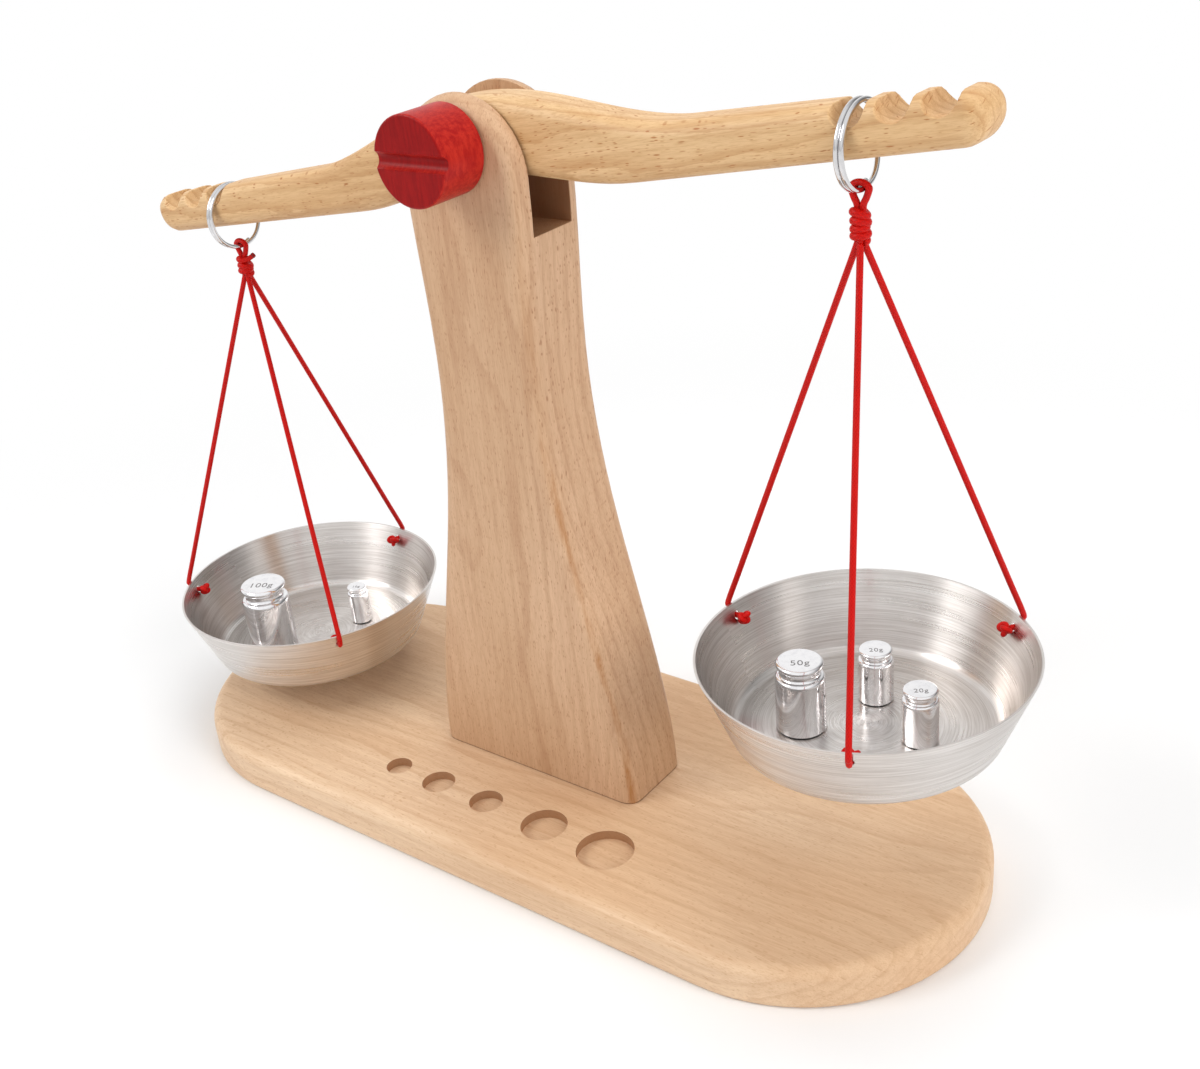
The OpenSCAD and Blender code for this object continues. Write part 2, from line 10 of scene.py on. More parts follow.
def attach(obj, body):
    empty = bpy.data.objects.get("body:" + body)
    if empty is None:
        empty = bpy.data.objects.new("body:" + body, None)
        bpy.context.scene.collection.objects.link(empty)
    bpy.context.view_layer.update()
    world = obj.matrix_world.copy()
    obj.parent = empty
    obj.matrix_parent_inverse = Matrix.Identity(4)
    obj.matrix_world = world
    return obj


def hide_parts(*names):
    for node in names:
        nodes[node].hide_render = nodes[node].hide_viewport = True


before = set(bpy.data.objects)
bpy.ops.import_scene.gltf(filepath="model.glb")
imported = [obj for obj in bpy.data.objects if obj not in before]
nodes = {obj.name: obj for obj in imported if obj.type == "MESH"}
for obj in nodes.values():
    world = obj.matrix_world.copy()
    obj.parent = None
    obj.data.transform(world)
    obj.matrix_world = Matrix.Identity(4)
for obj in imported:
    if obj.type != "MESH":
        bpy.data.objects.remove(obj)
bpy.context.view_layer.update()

# Sizes that the part's source gives, in metres. The tilt is in radians, the other angles in degrees
MM = 0.001
LEFT, RIGHT = -1, 1
SIDES = {LEFT: "left", RIGHT: "right"}
BOARD_T = 17 * MM
AXLE_Z = 280 * MM
SLOT_DROP = 31 * MM
TILT = math.radians(9)
NOTCH_START = 148 * MM
NOTCH_PITCH = 14.5 * MM
NOTCHES = 3
NOTCH_R = 5.6 * MM
NOTCH_DROP = 11 * MM
BEAM_T = 20 * MM
SEAT_GAP = 0.3 * MM
RING_LIFT = 0.1 * MM
RING_IN_R = 12.3 * MM
RING_WIRE = 1.5 * MM
RING_CROSS = 35
RING_CROSS_AT = 120
CORD_D = 2.2 * MM
CORD_R = CORD_D / 2
WOUND_D = 1.9 * MM
LEG_H = 5 * MM
KNOT_PITCH = 2.4 * MM
KNOT_TURNS = {LEFT: 2.4, RIGHT: 3.8}
KNOT_END = {LEFT: -53, RIGHT: 100}
KNOT_SLANT = 219
TAIL_L = {LEFT: 4.6 * MM, RIGHT: 0}
HANG = 188 * MM
PAN_D = 120 * MM
PAN_BASE_D = 96 * MM
PAN_H = 30 * MM
PAN_WALL = 0.8 * MM
HOLE_DROP = 4.6 * MM
PAN_SPIN = {LEFT: -151.6, RIGHT: 172.7}

# Each weight's mark, diameter and height in millimetres, and its side and place in the pan, as shares of
# the radius of the pan's floor
WEIGHTS = {
    "weight_10g": ("10g", 10, 18.5, LEFT, (0.2, 0.39)),
    "weight_20g_a": ("20g", 13, 21, RIGHT, (0.446, -0.017)),
    "weight_20g_b": ("20g", 13, 21, RIGHT, (-0.08, 0.317)),
    "weight_50g": ("50g", 18, 27.5, RIGHT, (-0.385, -0.28)),
    "weight_100g": ("100g", 22, 36, LEFT, (-0.156, -0.458)),
}

# Sizes that follow from them. Each drop is measured down from the middle of a notch
NOTCH_MID = NOTCH_R - NOTCH_DROP
RING_R = RING_IN_R + RING_WIRE / 2
RING_MID_DROP = NOTCH_R - SEAT_GAP - RING_LIFT + math.sqrt(RING_IN_R**2 - (BEAM_T / 2) ** 2)
EYE_DROP = RING_MID_DROP + RING_R
KNOT_TOP_DROP = EYE_DROP + LEG_H
KNOT_L = {side: KNOT_TURNS[side] * KNOT_PITCH + WOUND_D * 1.5 for side in SIDES}
KNOT_BOTTOM_DROP = {side: KNOT_TOP_DROP + KNOT_L[side] for side in SIDES}
PAN_LEAN = (PAN_D - PAN_BASE_D) / 2 / PAN_H
HOLE_IN_R = PAN_D / 2 - PAN_LEAN * HOLE_DROP - PAN_WALL / math.cos(math.atan(PAN_LEAN))
RIM_KNOT_FACE = HOLE_IN_R - PAN_WALL


def hang_point(side, drop):
    """The point that lies this far under the middle of one side's notch."""
    x = side * NOTCH_START * math.cos(TILT) - NOTCH_MID * math.sin(TILT)
    z = AXLE_Z + side * NOTCH_START * math.sin(TILT) + NOTCH_MID * math.cos(TILT)
    return Vector((x, 0, z - drop))


def on_notch(point):
    """Whether a point lies on the wall of one of the beam's notches."""
    near = 0.02 * MM
    along = abs(point.x * math.cos(TILT) + (point.z - AXLE_Z) * math.sin(TILT))
    up = (point.z - AXLE_Z) * math.cos(TILT) - point.x * math.sin(TILT)
    reaches = (math.hypot(along - NOTCH_START - i * NOTCH_PITCH, up - NOTCH_MID) for i in range(NOTCHES))
    return any(abs(reach - NOTCH_R) < near for reach in reaches)


def polar(radius, degrees, height=0):
    """A point at a distance and angle from the vertical axis."""
    a = math.radians(degrees)
    return Vector((radius * math.cos(a), radius * math.sin(a), height))


def ease(s):
    """Goes smoothly from 0 to 1 as s does, and stays at the ends beyond that."""
    return (1 - math.cos(math.pi * min(max(s, 0), 1))) / 2


# Camera, fitted to the photograph from the part's own sizes

CAMERA_TURN = math.radians(39.23)
CAMERA_RISE = math.radians(27.13)
CAMERA_ROLL = math.radians(-5.88)
CAMERA_DISTANCE = 567.25 * MM
CAMERA_TARGET = Vector((33.88 * MM, 0, 129.55 * MM))
SENSOR = 36
FOCAL_PIXELS, PICTURE_W = 1471.44, 1200


def make_camera():
    """The photograph's view: the camera looks at its target and is rolled about its own line of sight."""
    cos_rise = math.cos(CAMERA_RISE)
    back = Vector(
        (math.sin(CAMERA_TURN) * cos_rise, -math.cos(CAMERA_TURN) * cos_rise, math.sin(CAMERA_RISE))
    )
    right = (-back).cross(Vector((0, 0, 1))).normalized()
    up = back.cross(right)
    rolled_right = right * math.cos(CAMERA_ROLL) + up * math.sin(CAMERA_ROLL)
    rolled_up = up * math.cos(CAMERA_ROLL) - right * math.sin(CAMERA_ROLL)
    data = bpy.data.cameras.new("camera")
    data.sensor_width = SENSOR
    data.lens = FOCAL_PIXELS / PICTURE_W * SENSOR
    data.clip_start = 0.01
    data.clip_end = 20
    camera = bpy.data.objects.new("camera", data)
    turn = Matrix((rolled_right, rolled_up, back)).transposed().to_4x4()
    camera.matrix_world = Matrix.Translation(CAMERA_TARGET + back * CAMERA_DISTANCE) @ turn
    bpy.context.scene.collection.objects.link(camera)
    bpy.context.scene.camera = camera


make_camera()


# Mesh helpers

FLAT_ANGLE = math.radians(0.3)
SHARP_ANGLE = math.radians(32)
WELD = 0.002 * MM


def add_mesh(name, points, faces, uvs=None):
    """A smooth-shaded object. uvs gives one (u, v) for each corner of each face."""
    mesh = bpy.data.meshes.new(name)
    mesh.from_pydata([tuple(p) for p in points], [], faces)
    mesh.shade_smooth()
    if uvs:
        layer = mesh.uv_layers.new(name="along")
        for loop, uv in zip(layer.data, uvs):
            loop.uv = uv
    made = bpy.data.objects.new(name, mesh)
    bpy.context.scene.collection.objects.link(made)
    return made


def smooth_path(points, per_span):
    """A Catmull-Rom curve through the points."""
    ends = [points[0] * 2 - points[1], *points, points[-1] * 2 - points[-2]]
    path = []
    for i in range(1, len(ends) - 2):
        before, start, end, after = ends[i - 1 : i + 3]
        for k in range(per_span):
            t = k / per_span
            square = (2 * before - 5 * start + 4 * end - after) * t**2
            cube = (3 * start - before - 3 * end + after) * t**3
            path.append(0.5 * (2 * start + (end - before) * t + square + cube))
    path.append(points[-1].copy())
    return path


def add_tube(name, path, radius, sides, closed=False):
    """A round tube along a path, its u running round and its v along in diameters.

    radius is a length, or a function of the share of the path that lies behind."""
    count = len(path)
    reach = count if closed else count - 1
    at = radius if callable(radius) else lambda share: radius
    points, runs = [], [0.0]
    along = (path[1] - path[0]).normalized()
    across = along.orthogonal().normalized()
    for i, p in enumerate(path):
        after = path[(i + 1) % count] if closed else path[min(i + 1, count - 1)]
        before = path[i - 1] if closed or i else path[0]
        along = (after - before).normalized()
        across = (across - along * across.dot(along)).normalized()
        other = along.cross(across)
        r = at(i / reach)
        for k in range(sides):
            a = 2 * math.pi * k / sides
            points.append(p + (across * math.cos(a) + other * math.sin(a)) * r)
        runs.append(runs[-1] + (after - p).length)
    faces, uvs = [], []
    thick = 2 * at(0.5)
    for i in range(reach):
        for k in range(sides):
            low, high = i * sides, ((i + 1) % count) * sides
            k2 = (k + 1) % sides
            faces.append((low + k, low + k2, high + k2, high + k))
            v0, v1 = runs[i] / thick, runs[i + 1] / thick
            uvs += [(k / sides, v0), ((k + 1) / sides, v0), ((k + 1) / sides, v1), (k / sides, v1)]
    if not closed:
        for ring, turn in ((0, -1), (count - 1, 1)):
            middle = len(points)
            points.append(path[ring].copy())
            for k in range(sides):
                pair = (ring * sides + k, ring * sides + (k + 1) % sides)
                faces.append((*(pair if turn > 0 else pair[::-1]), middle))
                uvs += [(0, 0), (0.1, 0), (0.05, 0.1)]
    return add_mesh(name, points, faces, uvs)


def shade_evenly(piece):
    """Lets large faces stay flat in the shading, with sharp edges kept."""
    piece.modifiers.new("even_shading", "WEIGHTED_NORMAL").keep_sharp = True


def eased_copy(node, width, steps, is_cut):
    """A CAD node's shape again as a new piece, smooth over its roundings.

    A sharp edge is eased where is_cut says that both its ends lie on a cut."""
    source = nodes[node].data
    mesh = bpy.data.meshes.new(f"{node}_eased")
    mesh.from_pydata([v.co[:] for v in source.vertices], [], [f.vertices[:] for f in source.polygons])
    shape = bmesh.new()
    shape.from_mesh(mesh)
    bmesh.ops.remove_doubles(shape, verts=shape.verts, dist=WELD)
    bmesh.ops.dissolve_limit(shape, angle_limit=FLAT_ANGLE, verts=shape.verts, edges=shape.edges)
    crisp = [
        e for e in shape.edges
        if len(e.link_faces) == 2
        and e.calc_face_angle() > SHARP_ANGLE
        and all(is_cut(v.co) for v in e.verts)
    ]
    bmesh.ops.bevel(
        shape, geom=crisp, offset=width, offset_type="OFFSET", segments=steps, profile=0.5, affect="EDGES"
    )
    bmesh.ops.remove_doubles(shape, verts=shape.verts, dist=WELD)
    bmesh.ops.recalc_face_normals(shape, faces=shape.faces)
    for face in shape.faces:
        face.smooth = True
    for edge in shape.edges:
        edge.smooth = len(edge.link_faces) != 2 or edge.calc_face_angle() < SHARP_ANGLE
    shape.to_mesh(mesh)
    shape.free()
    made = bpy.data.objects.new(f"{node}_eased", mesh)
    bpy.context.scene.collection.objects.link(made)
    shade_evenly(made)
    return made


def add_turned(name, outline, foot, sides=64):
    """A turned solid that stands on foot, from half its outline as (radius, height), axis to axis."""
    rings = outline[1:-1]
    points = [foot + polar(r, 360 * k / sides, z) for r, z in rings for k in range(sides)]
    below, above, last = len(points), len(points) + 1, len(points) - sides
    points += [foot + Vector((0, 0, outline[end][1])) for end in (0, -1)]
    faces = []
    for k in range(sides):
        k2 = (k + 1) % sides
        for low in range(0, last, sides):
            faces.append((low + k, low + k2, low + sides + k2, low + sides + k))
        faces += [(below, k2, k), (above, last + k, last + k2)]
    made = add_mesh(name, points, faces)
    made.data.set_sharp_from_angle(angle=SHARP_ANGLE)
    shade_evenly(made)
    return made


def dress(piece, material, body, slot, *replaced):
    """Paints a new piece, ties it to its body and hides the nodes that it stands for."""
    piece.data.materials.clear()
    piece.data.materials.append(material)
    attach(piece, body)
    if replaced:
        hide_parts(*replaced)
    return piece


def paint(node, material):
    """Gives a CAD node's own surface a new material."""
    nodes[node].data.materials.clear()
    nodes[node].data.materials.append(material)


# Material helpers

# Where a Mix node keeps its sockets for colours
MIX_SHARE, MIX_FIRST, MIX_SECOND, MIX_RESULT = 0, 6, 7, 2


def srgb(red, green, blue):
    """A colour of the picture, 0 to 255, as Blender's linear colour."""
    def linear(v):
        v /= 255
        return v / 12.92 if v <= 0.04045 else ((v + 0.055) / 1.055) ** 2.4

    return (linear(red), linear(green), linear(blue), 1)


class Look:
    """One procedural material, built node by node. Its methods give back output sockets."""

    def __init__(self, name, **values):
        """values are constants for the shader's own sockets."""
        self.material = bpy.data.materials.new(name)
        self.material.use_nodes = True
        self.tree = self.material.node_tree
        self.shader = self.tree.nodes["Principled BSDF"]
        for key, value in values.items():
            self.shader.inputs[key.replace("_", " ")].default_value = value

    def join(self, value, socket):
        """Feeds a socket from another one, or sets it to a constant."""
        if isinstance(value, bpy.types.NodeSocket):
            self.tree.links.new(value, socket)
        else:
            socket.default_value = value

    def node(self, kind, output, settings=None, **inputs):
        """Any shader node, by its kind, with its own settings and its inputs by name."""
        made = self.tree.nodes.new("ShaderNode" + kind)
        for key, value in (settings or {}).items():
            setattr(made, key, value)
        for key, value in inputs.items():
            self.join(value, made.inputs[key.replace("_", " ")])
        return made.outputs[output]

    def math(self, operation, *values):
        """One step of arithmetic."""
        made = self.tree.nodes.new("ShaderNodeMath")
        made.operation = operation
        for value, socket in zip(values, made.inputs):
            self.join(value, socket)
        return made.outputs[0]

    def distance(self, x, y):
        """How far (x, y) lies from the axis."""
        squares = [self.math("MULTIPLY", value, value) for value in (x, y)]
        return self.math("SQRT", self.math("ADD", *squares))

    def vector(self, x, y, z):
        """Three values as one vector."""
        return self.node("CombineXYZ", 0, X=x, Y=y, Z=z)

    def stretched(self, *pairs):
        """A vector of three values, each times its own scale."""
        return self.vector(*(self.math("MULTIPLY", value, scale) for value, scale in pairs))

    def parts(self, vector):
        """The three values of a vector."""
        made = self.tree.nodes.new("ShaderNodeSeparateXYZ")
        self.join(vector, made.inputs[0])
        return made.outputs

    def spot(self, scale=1 / MM, turn=(0, 0, 0), move=(0, 0, 0)):
        """The surface point in the piece's own frame, in millimetres, then turned and moved."""
        point = self.node("TexCoord", "Object")
        return self.node("Mapping", 0, Vector=point, Location=move, Rotation=turn, Scale=(scale,) * 3)

    def noise(self, vector, scale, detail=2.0, roughness=0.5):
        """Soft noise from 0 to 1, with this many features in a unit of the vector."""
        return self.node("TexNoise", 0, Vector=vector, Scale=scale, Detail=detail, Roughness=roughness)

    def between(self, value, low, high, to_low=0.0, to_high=1.0):
        """Smooth step of a value from one span to another."""
        made = self.tree.nodes.new("ShaderNodeMapRange")
        made.interpolation_type = "SMOOTHSTEP"
        for given, socket in zip((value, low, high, to_low, to_high), made.inputs):
            self.join(given, socket)
        return made.outputs[0]

    def mix(self, share, first, second):
        """Goes from the first colour to the second as the share goes from 0 to 1."""
        made = self.tree.nodes.new("ShaderNodeMix")
        made.data_type = "RGBA"
        for value, place in ((share, MIX_SHARE), (first, MIX_FIRST), (second, MIX_SECOND)):
            self.join(value, made.inputs[place])
        return made.outputs[MIX_RESULT]

    def stain(self, base, where, strength, colour):
        """Lays a colour over base where a mask says so, up to a strength."""
        return self.mix(self.math("MULTIPLY", where, strength), base, colour)

    def colour(self, value):
        """Sets the surface's colour."""
        self.join(value, self.shader.inputs["Base Color"])

    def roughness(self, value):
        """Sets how rough the surface is."""
        self.join(value, self.shader.inputs["Roughness"])

    def bump(self, height, distance, strength):
        """Gives the surface a fine relief, distance metres deep."""
        bumped = self.node("Bump", 0, Height=height, Distance=distance, Strength=strength)
        self.join(bumped, self.shader.inputs["Normal"])


# Beech

ROW_REACH = (100, 64)
SLOT_HALF_W = BEAM_T / MM / 2 + 0.7
SLOT_FLOOR = (AXLE_Z - SLOT_DROP) / MM
SLOT_TOP = AXLE_Z / MM - 2


class Wood(Look):
    """Beech in the round, in millimetres: rings round a pith outside the piece, streaks, fibres and rays.

    order names the piece's axes as (along the grain, across, depth), and pith is where the rings' middle
    lies across and in depth. The rings are bent slowly by bend, and ragged at their edges by rag."""

    def __init__(self, name, order, pith, ring_w, bend, rag, **placing):
        super().__init__(name, Roughness=0.5, Specular_IOR_Level=0.35)
        axes = dict(zip("xyz", self.parts(self.spot(**placing))))
        self.along, self.across, self.deep = (axes[letter] for letter in order)
        bent = self.centred(self.grain(0.009, 0.022, 1.5), bend)
        aside = self.math("MULTIPLY", bent, 0.35)
        dx = self.math("SUBTRACT", self.math("ADD", self.across, aside), pith[0])
        dy = self.math("SUBTRACT", self.math("ADD", self.deep, bent), pith[1])
        ragged = self.centred(self.grain(0.1, 0.8, 3.0), rag)
        self.radius = self.math("ADD", self.distance(dx, dy), ragged)
        self.girth = self.math("MULTIPLY", self.math("ARCTAN2", dx, dy), math.hypot(*pith))
        self.turns = self.math("DIVIDE", self.radius, ring_w)
        self.streaks = self.grain(0.02, 0.35, 3.0)
        self.fibres = self.grain(0.16, 2.6, 3.0, 0.65)

    def grain(self, along, across, detail, roughness=0.5):
        """Noise stretched along the grain, from the number of its features in a millimetre each way."""
        point = self.stretched((self.along, along), (self.across, across), (self.deep, across))
        return self.noise(point, 1.0, detail, roughness)

    def centred(self, value, size):
        """Turns a value from 0 to 1 into one from minus half the size to half the size."""
        return self.math("MULTIPLY", self.math("SUBTRACT", value, 0.5), size)

    def within(self, value, reach, fade):
        """1 where a value lies no further from 0 than reach, and 0 past the fade."""
        return self.between(self.math("ABSOLUTE", value), reach, reach + fade, 1.0, 0.0)

    def beech(self, light, mid, dark, bands, streaks, rings, fibres):
        """The wood's colour before its rays: how strong its bands, streaks, late wood and fibres are."""
        slow = self.grain(0.006, 0.02, 1.0)
        ring = self.math("FRACT", self.turns)
        whole = self.math("FLOOR", self.turns)
        own = self.node("TexWhiteNoise", "Value", {"noise_dimensions": "1D"}, W=whole)
        rising = self.between(ring, 0.62, 0.95)
        late = self.math("MULTIPLY", rising, self.between(ring, 0.95, 1.0, 1.0, 0.0))
        base = self.mix(self.between(slow, 0.3, 0.7), light, mid)
        base = self.stain(base, own, bands, mid)
        base = self.stain(base, self.between(self.streaks, 0.35, 0.75), streaks, dark)
        base = self.stain(base, late, rings, dark)
        return self.stain(base, self.between(self.fibres, 0.42, 0.75), fibres, dark)

    def rays(self, *sizes):
        """Short dark lens-shaped lines, for each of the sizes (length, width, share that shows, seed)."""
        masks = []
        for long, wide, share, seed in sizes:
            cell = self.vector(
                self.math("ADD", self.math("DIVIDE", self.along, long), seed),
                self.math("DIVIDE", self.girth, wide),
                self.math("DIVIDE", self.radius, long * 2),
            )
            near = self.node("TexVoronoi", "Distance", Vector=cell, Scale=1.0, Randomness=0.95)
            own = self.node("TexVoronoi", "Color", Vector=cell, Scale=1.0, Randomness=0.95)
            picked = self.between(self.parts(own)[0], 1 - share, 1.0)
            masks.append(self.math("MULTIPLY", self.between(near, 0.13, 0.32, 1.0, 0.0), picked))
        return self.math("MAXIMUM", *masks)

    def finish(self, base, rays):
        """Sets the colour, the sheen, and the fine relief of fibres and rays."""
        self.colour(base)
        self.roughness(self.between(self.fibres, 0.3, 0.8, 0.44, 0.56))
        raised = self.math("MULTIPLY", self.fibres, 0.5)
        relief = self.math("ADD", raised, self.math("MULTIPLY", rays, -0.6))
        self.bump(relief, 0.05 * MM, 0.5)
        return self.material


def board_wood():
    """The board's beech, with painted shade on the upright walls of the pockets, which lie within
    ROW_REACH.
    """
    look = Wood("board_beech", "xyz", pith=(22, -64), ring_w=5.2, bend=30, rag=1.1)
    light, mid, dark = srgb(237, 208, 175), srgb(223, 187, 150), srgb(192, 146, 106)
    base = look.beech(light, mid, dark, bands=0.4, streaks=0.3, rings=0.22, fibres=0.42)
    rays = look.rays((2.6, 0.55, 0.85, 0), (4.5, 0.7, 0.4, 5))
    base = look.stain(base, rays, 0.5, dark)
    # Painted shade: the upright walls of the pockets are darkened towards brown
    facing = look.parts(look.node("TexCoord", "Normal"))
    walls = look.between(look.math("ABSOLUTE", facing[2]), 0.2, 0.6, 1.0, 0.0)
    for place, reach in zip((look.along, look.across), ROW_REACH):
        walls = look.math("MULTIPLY", walls, look.within(place, reach, 2))
    base = look.stain(base, walls, 0.7, srgb(150, 100, 62))
    return look.finish(base, rays)


def slot_shade_mask(look):
    """1 on the walls and floor of the pillar's slot, where shade is painted, fading out at its open top."""
    inside = look.within(look.deep, SLOT_HALF_W, 0.3)
    above = look.between(look.along, SLOT_FLOOR - 0.3, SLOT_FLOOR + 0.2)
    below = look.between(look.along, SLOT_TOP - 4, SLOT_TOP + 4, 1.0, 0.0)
    return look.math("MULTIPLY", look.math("MULTIPLY", inside, above), below)


def edge_mask(look):
    """Broken streaks on the two rounded edges whose normals differ in sign in x and y, fainter high up."""
    facing = look.parts(look.node("TexCoord", "Normal"))
    corner = look.math("MULTIPLY", look.math("MULTIPLY", facing[0], facing[1]), -1)
    wander = look.math("ADD", corner, look.centred(look.grain(0.012, 0.12, 2.0), 0.55))
    low = look.between(look.along, 120, 240, 1.0, 0.25)
    by_streak = look.between(look.streaks, 0.3, 0.6, 0.2, 0.8)
    by_fibre = look.between(look.fibres, 0.3, 0.6, 0.5, 1.0)
    broken = look.math("MULTIPLY", by_streak, by_fibre)
    tint = look.math("MULTIPLY", look.between(wander, 0.39, 0.53), broken)
    return look.math("MULTIPLY", tint, low)


def pillar_wood():
    """The pillar's beech: painted shade in its slot, a painted shadow line at its foot and brown streaks at
    its edges.
    """
    look = Wood("pillar_beech", "zxy", pith=(-34, 120), ring_w=5.5, bend=24, rag=1.1)
    light, mid, dark = srgb(220, 184, 150), srgb(204, 166, 130), srgb(158, 106, 68)
    base = look.beech(light, mid, dark, bands=0.35, streaks=0.22, rings=0.2, fibres=0.36)
    rays = look.rays((2.4, 0.5, 0.85, 0), (4.4, 0.65, 0.4, 5))
    base = look.stain(base, rays, 0.7, dark)
    # Painted shade inside the slot
    base = look.stain(base, slot_shade_mask(look), 0.8, srgb(138, 88, 54))
    # A painted shadow line along the pillar's foot, where it stands on the board
    foot_z = BOARD_T / MM
    foot = look.between(look.along, foot_z + 0.2, foot_z + 0.9, 0.75, 0.0)
    base = look.mix(foot, base, srgb(96, 56, 30))
    base = look.mix(edge_mask(look), base, srgb(180, 122, 68))
    return look.finish(base, rays)


def beam_wood():
    """The beam's beech, its grain along the tilted beam."""
    placing = {"turn": (0, TILT, 0), "move": (0, 0, -AXLE_Z / MM)}
    look = Wood("beam_beech", "xyz", pith=(74, 22), ring_w=4.4, bend=22, rag=1.8, **placing)
    light, mid, dark = srgb(232, 200, 155), srgb(219, 180, 131), srgb(180, 128, 76)
    base = look.beech(light, mid, dark, bands=0.45, streaks=0.42, rings=0.42, fibres=0.5)
    rays = look.rays((3.2, 0.5, 0.62, 0), (5.4, 0.7, 0.4, 5))
    base = look.stain(base, rays, 0.9, srgb(170, 104, 48))
    return look.finish(base, rays)


def stained_wood():
    """Red stain on fine beech under a satin lacquer, with painted shade on the knob's face."""
    look = Look("red_stained_beech", Roughness=0.38, Specular_IOR_Level=0.12)
    x, y, z = look.parts(look.spot())
    streaks = look.noise(look.stretched((x, 1.1), (y, 0.5), (z, 0.1)), 1.0, 3.0, 0.6)
    fibres = look.noise(look.stretched((x, 3.2), (y, 3.2), (z, 0.5)), 1.0, 3.0, 0.6)
    facing = look.parts(look.node("TexCoord", "Normal"))[1]
    shade = look.between(streaks, 0.3, 0.7)
    # A lit and a shaded copy of the red: the face, turned towards -y, takes the darker one as painted shade
    side = look.mix(shade, srgb(186, 44, 34), srgb(158, 24, 24))
    front = look.mix(shade, srgb(156, 16, 16), srgb(134, 9, 12))
    base = look.mix(look.between(facing, -0.95, -0.6), front, side)
    base = look.stain(base, look.between(fibres, 0.5, 0.8), 0.6, srgb(104, 8, 10))
    look.colour(base)
    look.roughness(look.between(fibres, 0.3, 0.8, 0.34, 0.44))
    look.bump(fibres, 0.05 * MM, 0.4)
    return look.material


# Metal, cord and marks


def spun_steel(name, side):
    """Steel brushed in circles about a pan's own axis."""
    look = Look(name, Metallic=1.0, Anisotropic=0.9, Anisotropic_Rotation=0.25)
    x, y, z = look.parts(look.spot(move=(-hang_point(side, 0).x / MM, 0, 0)))
    radius = look.distance(x, y)
    around = look.math("ARCTAN2", y, x)

    def lines(across, along, detail, roughness=0.5):
        """Noise drawn out round the axis."""
        point = look.stretched((radius, across), (around, along), (z, across))
        return look.noise(point, 1.0, detail, roughness)

    fine = lines(2.0, 1.4, 3.0, 0.6)
    worn = lines(0.5, 3.0, 2.0)
    broad = lines(0.16, 0.7, 1.0)
    base = look.mix(look.between(fine, 0.3, 0.7), srgb(204, 198, 193), srgb(234, 230, 227))
    look.colour(look.stain(base, look.between(worn, 0.45, 0.75), 0.25, srgb(190, 183, 177)))
    rough = look.between(broad, 0.3, 0.7, 0.24, 0.3)
    look.roughness(look.math("ADD", rough, look.math("MULTIPLY", fine, 0.05)))
    look.bump(fine, 0.012 * MM, 0.4)
    tangent = look.node("Tangent", 0, {"direction_type": "RADIAL", "axis": "Z"})
    look.join(tangent, look.shader.inputs["Tangent"])
    return look.material


def bright_metal(name, colour, worn, roughness, dents):
    """Polished metal with faint wear."""
    look = Look(name, Metallic=1.0)
    wear = look.noise(look.spot(), 0.35, 3.0, 0.6)
    look.colour(look.mix(look.between(wear, 0.4, 0.8), colour, worn))
    look.roughness(look.between(wear, 0.4, 0.8, roughness, roughness + 0.04))
    look.bump(look.noise(look.spot(), 0.15, 1.0), dents, 0.5)
    return look.material


def woven_cord():
    """Smooth red cord: fine slanting strands, drawn round and along the tube."""
    look = Look("red_cord", Roughness=0.46, Specular_IOR_Level=0.2)
    u, v, _ = look.parts(look.node("TexCoord", "UV"))
    strands_round, turns_along = 7, 1.6
    strands = []
    for turn in (1, -1):
        along = look.math("MULTIPLY", v, turns_along * turn)
        phase = look.math("ADD", along, look.math("MULTIPLY", u, strands_round))
        strands.append(look.math("SINE", look.math("MULTIPLY", phase, 2 * math.pi)))
    braid = look.math("MAXIMUM", *strands)
    uneven = look.between(look.noise(look.spot(), 0.35, 2.0), 0.35, 0.7)
    base = look.mix(look.between(braid, 0.1, 0.95), srgb(182, 8, 4), srgb(204, 16, 7))
    look.colour(look.stain(base, uneven, 0.3, srgb(176, 8, 5)))
    look.bump(braid, 0.03 * MM, 0.25)
    return look.material


def scorched():
    """The cut end of a cord, sealed with a flame."""
    look = Look("cord_end", Roughness=0.5)
    burnt = look.noise(look.spot(), 1.5, 2.0)
    look.colour(look.mix(look.between(burnt, 0.35, 0.65), srgb(70, 20, 20), srgb(34, 26, 30)))
    look.bump(burnt, 0.1 * MM, 0.5)
    return look.material


def engraved():
    """The grey of marks cut into polished metal."""
    look = Look("engraved_marks", Roughness=0.5, Metallic=0.6)
    uneven = look.between(look.noise(look.spot(), 2.0, 3.0), 0.3, 0.7)
    look.colour(look.mix(uneven, srgb(112, 110, 110), srgb(150, 148, 148)))
    return look.material


BEAM_WOOD = beam_wood()
CORD = woven_cord()
CORD_END = scorched()
CHROME = bright_metal("chrome", srgb(243, 242, 243), srgb(233, 232, 234), 0.05, 0.004 * MM)
RING_STEEL = bright_metal("ring_steel", srgb(218, 217, 218), srgb(208, 207, 208), 0.09, 0.01 * MM)
SCREW_STEEL = bright_metal("screw_steel", srgb(200, 200, 200), srgb(208, 207, 208), 0.3, 0.02 * MM)
INK = engraved()

pillar = eased_copy("pillar", 0.4 * MM, 2, lambda point: True)
beam = eased_copy("beam", 0.5 * MM, 3, on_notch)
paint("base_board", board_wood())
dress(pillar, pillar_wood(), "stand", "pillar_wood", "pillar")
dress(beam, BEAM_WOOD, "beam", "beam_wood", "beam")
paint("axle", BEAM_WOOD)
paint("knob", stained_wood())
paint("pillar_screws", SCREW_STEEL)
for side, name in SIDES.items():
    paint(f"{name}_pan", spun_steel(f"{name}_pan_steel", side))


# Rings: two turns of polished wire, with the step from the first to the second

RING_STEPS = 220
RING_STEP_W = 1.78 * MM
WIRE_R = 0.86 * MM


